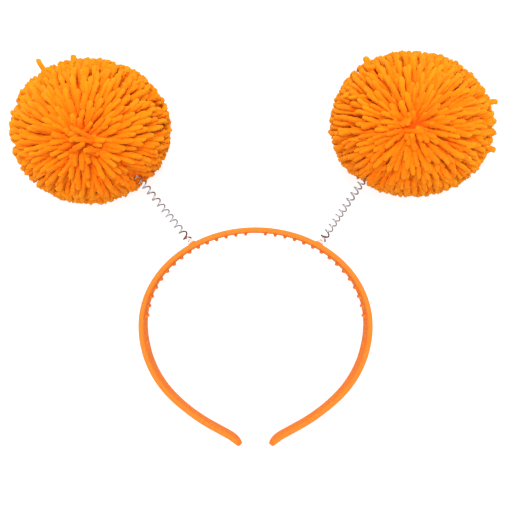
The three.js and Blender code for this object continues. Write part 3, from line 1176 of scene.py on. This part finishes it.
glue, nodes, shader, mask = new_finish("clear_glue", Scale=420.0, Depth=0.00012,
                                       Smooth=0.06, Rough=0.16)
glue_colour = mix_colours(nodes, mask, colour(250, 226, 220), colour(255, 238, 232))
nodes.fill(shader, Base_Color=glue_colour, Transmission_Weight=0.9, IOR=1.46)
coat(drops, glue)
print("steel nodes:", len(steel.node_tree.nodes), "glue nodes:", len(glue.node_tree.nodes))

# %% [markdown]
# ### Yarn
# Thick acrylic yarn is matt, with a soft bloom of loose fibres that the shader's sheen stands for.
# Deep between the strands the light has bounced off orange many times, so the colour there is redder
# and stronger: that shade is painted into the base colour, redder and darker towards a strand's
# root. At the cut ends it is paler, partly the yarn's own colour and partly painted light. A strand's
# value of painted light and tone tints all of it: painted shade at a pole, painted light halfway
# between the poles, and a random tone. The plies twist round each strand, and a fine bump that
# follows it along and around draws them. In the seams between the plies the colour is a little
# darker, as painted shade.

# %% Yarn
PLY_COUNT = 3
PLY_TWIST = 24.0
# Shares of the grain and of the plies in the bump, and the painted shade in the seams: how much
# lighter a ply is than its seam.
GRAIN_RELIEF = 0.8
PLY_RELIEF = 0.5
PLY_SEAM_SHADE = 0.02
# What a strand's colour is multiplied by at a pole, as painted shade, and halfway between the
# poles, as painted light.
painted_shade_tint = (0.97, 0.66, 0.18, 1.0)
painted_light_tint = (1.0, 1.27, 0.75, 1.0)

yarn, nodes, shader, mask = new_finish("orange_yarn", Scale=1600.0, Depth=0.0002,
                                       Smooth=0.85, Rough=1.0)
along = attribute(nodes, "along")
around = nodes.add("ShaderNodeSeparateXYZ", Vector=attribute(nodes, "around", "Vector"))
angle = nodes.math("ARCTAN2", around.outputs["Y"], around.outputs["X"])
twist = nodes.math("MULTIPLY", along, PLY_TWIST)
plies = nodes.math("SINE", nodes.math("MULTIPLY_ADD", angle, float(PLY_COUNT), twist))
relief = nodes.math("MULTIPLY_ADD", mask, GRAIN_RELIEF, nodes.math("MULTIPLY", plies, PLY_RELIEF))
bump = nodes.add("ShaderNodeBump", Height=relief, Distance=0.0003, Strength=0.5)

# Painted shade deep in the ball, towards a strand's root; the paler cut end is partly painted light.
depth_shade_ramp = nodes.add("ShaderNodeValToRGB", Fac=along)
stops = depth_shade_ramp.color_ramp.elements
stops[0].position, stops[0].color = 0.0, colour(235, 90, 2)
stops[1].position, stops[1].color = 1.0, colour(240, 134, 24)
for position, tone in ((0.5, colour(248, 108, 2)), (0.82, colour(244, 120, 10))):
    stops.new(position).color = tone
# Painted shade: the colour darkens a little in the seams between the plies.
seam_shading = nodes.math("MULTIPLY_ADD", plies, PLY_SEAM_SHADE, 1 - PLY_SEAM_SHADE)
yarn_colour = nodes.vector("SCALE", depth_shade_ramp.outputs["Color"], Scale=seam_shading)
# Painted shade at a pole and painted light halfway between the poles, with a random tone.
light_and_tone_tint = mix_colours(nodes, attribute(nodes, "shade"), painted_shade_tint, painted_light_tint)
yarn_colour = nodes.vector("MULTIPLY", yarn_colour, light_and_tone_tint)
nodes.fill(shader, Base_Color=yarn_colour, Normal=bump.outputs[0], Specular_IOR_Level=0.08,
           Sheen_Weight=0.9, Sheen_Roughness=0.5, Sheen_Tint=colour(255, 165, 45))
coat(pompoms, yarn)
print("yarn nodes:", len(yarn.node_tree.nodes))

# %% [markdown]
# ## Floor and light
# The photograph was taken on plain white with soft light from above its top edge. A wide soft light
# at the top, a weaker one on the lower side and a bright even sky stand for it. The large pale floor
# glows as a light table does, so that it stays white right up to the thin wire.

# %% Floor
FLOOR_SIZE = 4.0
WHITE = (1.0, 1.0, 1.0, 1.0)

start_clean()
bpy.ops.mesh.primitive_plane_add(size=FLOOR_SIZE)
floor = bpy.context.object
floor.name = "floor"
paper = bpy.data.materials.new("pale_floor")
paper.use_nodes = True
Nodes(paper.node_tree).fill(paper.node_tree.nodes["Principled BSDF"], Roughness=0.9,
                            Base_Color=colour(137, 137, 137), Emission_Color=WHITE,
                            Emission_Strength=0.8)
floor.data.materials.append(paper)
print("floor:", FLOOR_SIZE, "m square")

# %% Lights


def soft_light(name, place, aim, size, power):
    start_clean()
    turn = (Vector(aim) - Vector(place)).to_track_quat("-Z", "Y").to_euler()
    bpy.ops.object.light_add(type="AREA", location=place, rotation=turn)
    lamp = bpy.context.object
    lamp.name = name
    lamp.data.size = size
    lamp.data.energy = power


soft_light("key_light", place=(-0.05, 0.3, 1.1), aim=(0, 0.02, 0.03), size=0.6, power=11.0)
soft_light("fill_light", place=(0, -0.35, 1.15), aim=(0, 0.05, 0), size=0.6, power=5.8)
scene = bpy.context.scene
sky = bpy.data.worlds.new("studio")
sky.use_nodes = True
Nodes(sky.node_tree).fill(sky.node_tree.nodes["Background"], Color=WHITE, Strength=0.7)
scene.world = sky
scene.view_settings.view_transform = "Standard"

# %% [markdown]
# ## Hand the pieces over
# Each piece rides on the model's one body and stands for the plain node that was there before it.
# The boxes are kept, hidden.

# %% Ride and replace
handed = [(band, "band_plastic", "headband")]
for side, spring, drop, pompom in zip(sides, springs, drops, pompoms):
    handed.append((spring, "spring_wire", "spring_" + side.name))
    handed.append((drop, "clear_glue", "glue_" + side.name))
    handed.append((pompom, "yarn", "pompom_" + side.name))
for piece, slot, node in handed:
    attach(piece, "root")
    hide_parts(node)
    print(piece.name, "stands for", node, "with", triangles(piece), "triangles")
